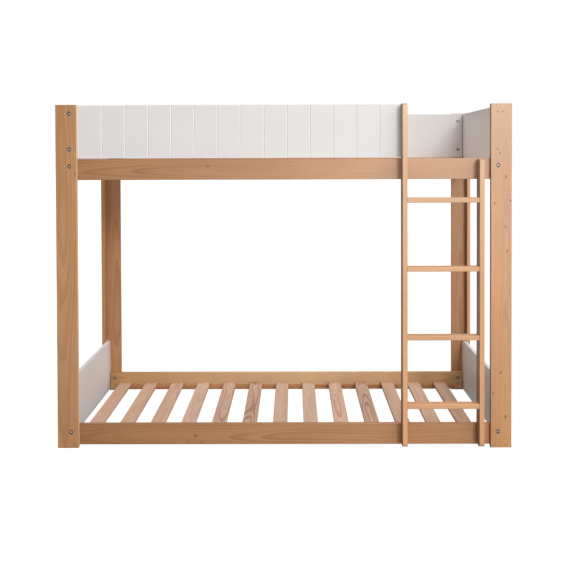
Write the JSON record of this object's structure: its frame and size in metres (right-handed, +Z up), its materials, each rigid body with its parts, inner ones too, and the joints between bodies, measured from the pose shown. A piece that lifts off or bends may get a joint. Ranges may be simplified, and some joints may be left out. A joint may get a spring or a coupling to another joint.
{
  "type": "bunk bed",
  "caption": "Single-over-single pine bunk bed with a fixed front ladder, white grooved guard panels and slatted decks.",
  "frame": {"origin": "on the floor, at the middle of the whole footprint, ladder included", "axes": "+X along the bed to the right end seen from the front, +Y from the ladder side to the back, +Z up"},
  "size_m": [1.99, 1.068, 1.505],
  "materials": {
    "post_wood": "clear satin lacquer on knotty pine",
    "rail_wood": "clear satin lacquer on knotty pine",
    "cleat_wood": "planed pine",
    "ladder_wood": "clear satin lacquer on pine",
    "slat_wood": "planed bare pine",
    "dowel_wood": "fluted beech, bare",
    "panel_white": "white satin paint on board",
    "bolt_steel": "zinc plated",
    "screw_steel": "zinc plated"
  },
  "bodies": {
    "root": {"post_face_front_left": "post_wood", "post_side_front_left": "post_wood", "post_face_front_right": "post_wood", "post_side_front_right": "post_wood", "post_face_back_left": "post_wood", "post_side_back_left": "post_wood", "post_face_back_right": "post_wood", "post_side_back_right": "post_wood", "rail_lower_front": "rail_wood", "rail_lower_back": "rail_wood", "rail_upper_front": "rail_wood", "rail_upper_back": "rail_wood", "cleat_lower_front": "cleat_wood", "cleat_lower_back": "cleat_wood", "cleat_upper_front": "cleat_wood", "cleat_upper_back": "cleat_wood", "end_panel_lower_left": "panel_white", "end_panel_lower_right": "panel_white", "end_panel_upper_left": "panel_white", "end_panel_upper_right": "panel_white", "guard_panel": "panel_white", "back_panel": "panel_white", "ladder_stile_left": "ladder_wood", "ladder_stile_right": "ladder_wood", "ladder_rung_1": "ladder_wood", "ladder_rung_2": "ladder_wood", "ladder_rung_3": "ladder_wood", "ladder_rung_4": "ladder_wood", "slat_lower_1": "slat_wood", "slat_lower_2": "slat_wood", "slat_lower_3": "slat_wood", "slat_lower_4": "slat_wood", "slat_lower_5": "slat_wood", "slat_lower_6": "slat_wood", "slat_lower_7": "slat_wood", "slat_lower_8": "slat_wood", "slat_lower_9": "slat_wood", "slat_lower_10": "slat_wood", "slat_lower_11": "slat_wood", "slat_lower_12": "slat_wood", "slat_lower_13": "slat_wood", "slat_upper_1": "slat_wood", "slat_upper_2": "slat_wood", "slat_upper_3": "slat_wood", "slat_upper_4": "slat_wood", "slat_upper_5": "slat_wood", "slat_upper_6": "slat_wood", "slat_upper_7": "slat_wood", "slat_upper_8": "slat_wood", "slat_upper_9": "slat_wood", "slat_upper_10": "slat_wood", "slat_upper_11": "slat_wood", "slat_upper_12": "slat_wood", "slat_upper_13": "slat_wood", "frame_bolts": "bolt_steel", "sleeve_nuts": "bolt_steel", "ladder_inserts": "bolt_steel", "dowels": "dowel_wood", "wood_screws": "screw_steel", "slat_screws": "screw_steel"}
  },
  "joints": []
}
